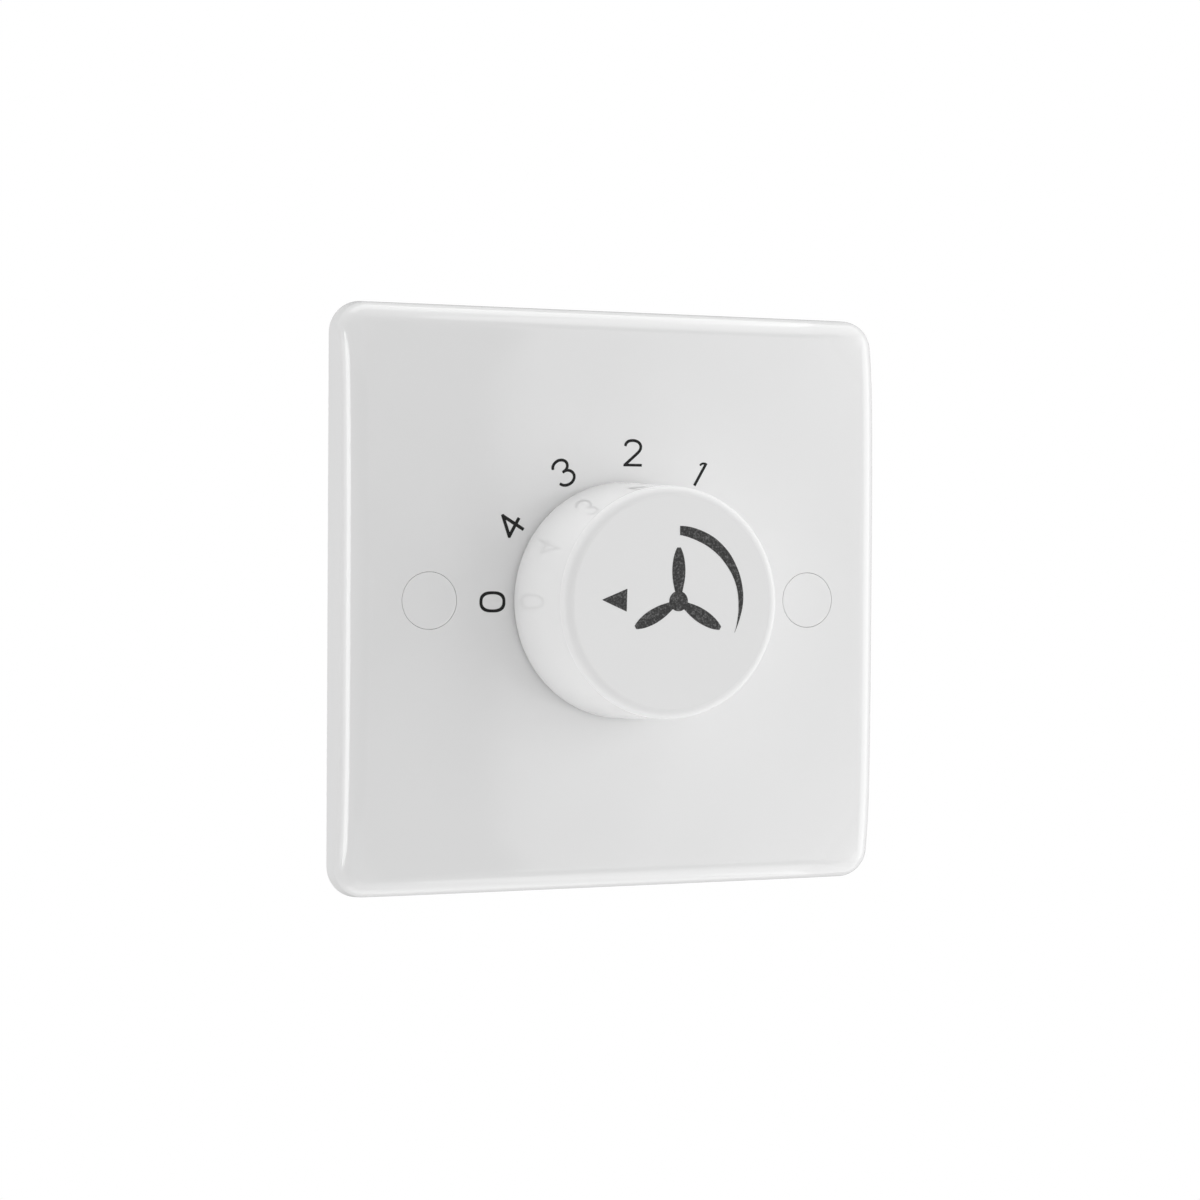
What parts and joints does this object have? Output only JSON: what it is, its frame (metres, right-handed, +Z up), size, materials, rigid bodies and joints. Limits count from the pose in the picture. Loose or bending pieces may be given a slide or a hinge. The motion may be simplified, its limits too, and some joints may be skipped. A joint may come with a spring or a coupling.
{
  "type": "fan speed control switch",
  "caption": "Square wall plate with a large rotary knob that sets a ceiling fan's speed in clicks from off to full, with its regulator module behind.",
  "frame": {"origin": "centre of the plate's back, on the wall plane, midway between the two fixing screws", "axes": "+Y into the wall along the fixing screws, the front faces -Y, +Z up, +X to the right as seen from the front"},
  "size_m": [0.086, 0.0514, 0.086],
  "materials": {
    "plate_white": "glossy moulded urea, white",
    "cap_white": "glossy moulded, white",
    "knob_white": "glossy moulded, white, dark print on the face",
    "zinc_steel": "bright zinc plated",
    "spring_steel": "bright spring steel",
    "brass": "machined brass",
    "bronze": "phosphor bronze strip",
    "shaft_nylon": "natural acetal",
    "switch_black": "black phenolic",
    "wafer_brown": "brown laminated paper board",
    "board_tan": "phenolic circuit board",
    "film_yellow": "potted box capacitor",
    "cement_white": "cement filled ceramic case",
    "fuse_metal": "drawn metal can",
    "resistor_tan": "lacquered carbon film",
    "terminal_grey": "grey glass-filled nylon",
    "case_ivory": "dark grey polycarbonate, fine spark texture"
  },
  "bodies": {
    "plate": {"face_plate": "plate_white", "fixing_screws": "zinc_steel", "switch_bushing": "brass", "spindle_nut": "brass", "lock_washer": "zinc_steel", "switch_body": "switch_black", "switch_screws": "zinc_steel", "detent_spring": "spring_steel", "fixed_contacts": "brass", "switch_wafer": "wafer_brown", "capacitor_large": "film_yellow", "capacitor_small": "film_yellow", "surge_resistor": "cement_white", "thermal_fuse": "fuse_metal", "bleed_resistors": "resistor_tan", "terminal_block": "terminal_grey", "terminal_clamps": "brass", "terminal_screws": "zinc_steel", "circuit_board": "board_tan", "module_case": "case_ivory", "case_screws": "zinc_steel"},
    "knob_shaft": {"control_knob": "knob_white", "knob_spring_clip": "spring_steel", "spindle": "shaft_nylon", "spindle_circlip": "spring_steel", "detent_rotor": "shaft_nylon", "wiper_contact": "bronze"},
    "cap_left": {"screw_cap_left": "cap_white"},
    "cap_right": {"screw_cap_right": "cap_white"}
  },
  "joints": [
    {"name": "knob_turn", "type": "hinge", "parent": "plate", "child": "knob_shaft", "pos_m": [0, 0, 0], "axis": [0, 1, 0], "range_deg": [0, 120], "deforming": ["detent_spring"]},
    {"name": "cap_left_pull", "type": "slide", "parent": "plate", "child": "cap_left", "axis": [0, -1, 0], "range_m": [0, 0.0032]},
    {"name": "cap_right_pull", "type": "slide", "parent": "plate", "child": "cap_right", "axis": [0, -1, 0], "range_m": [0, 0.0032]}
  ]
}
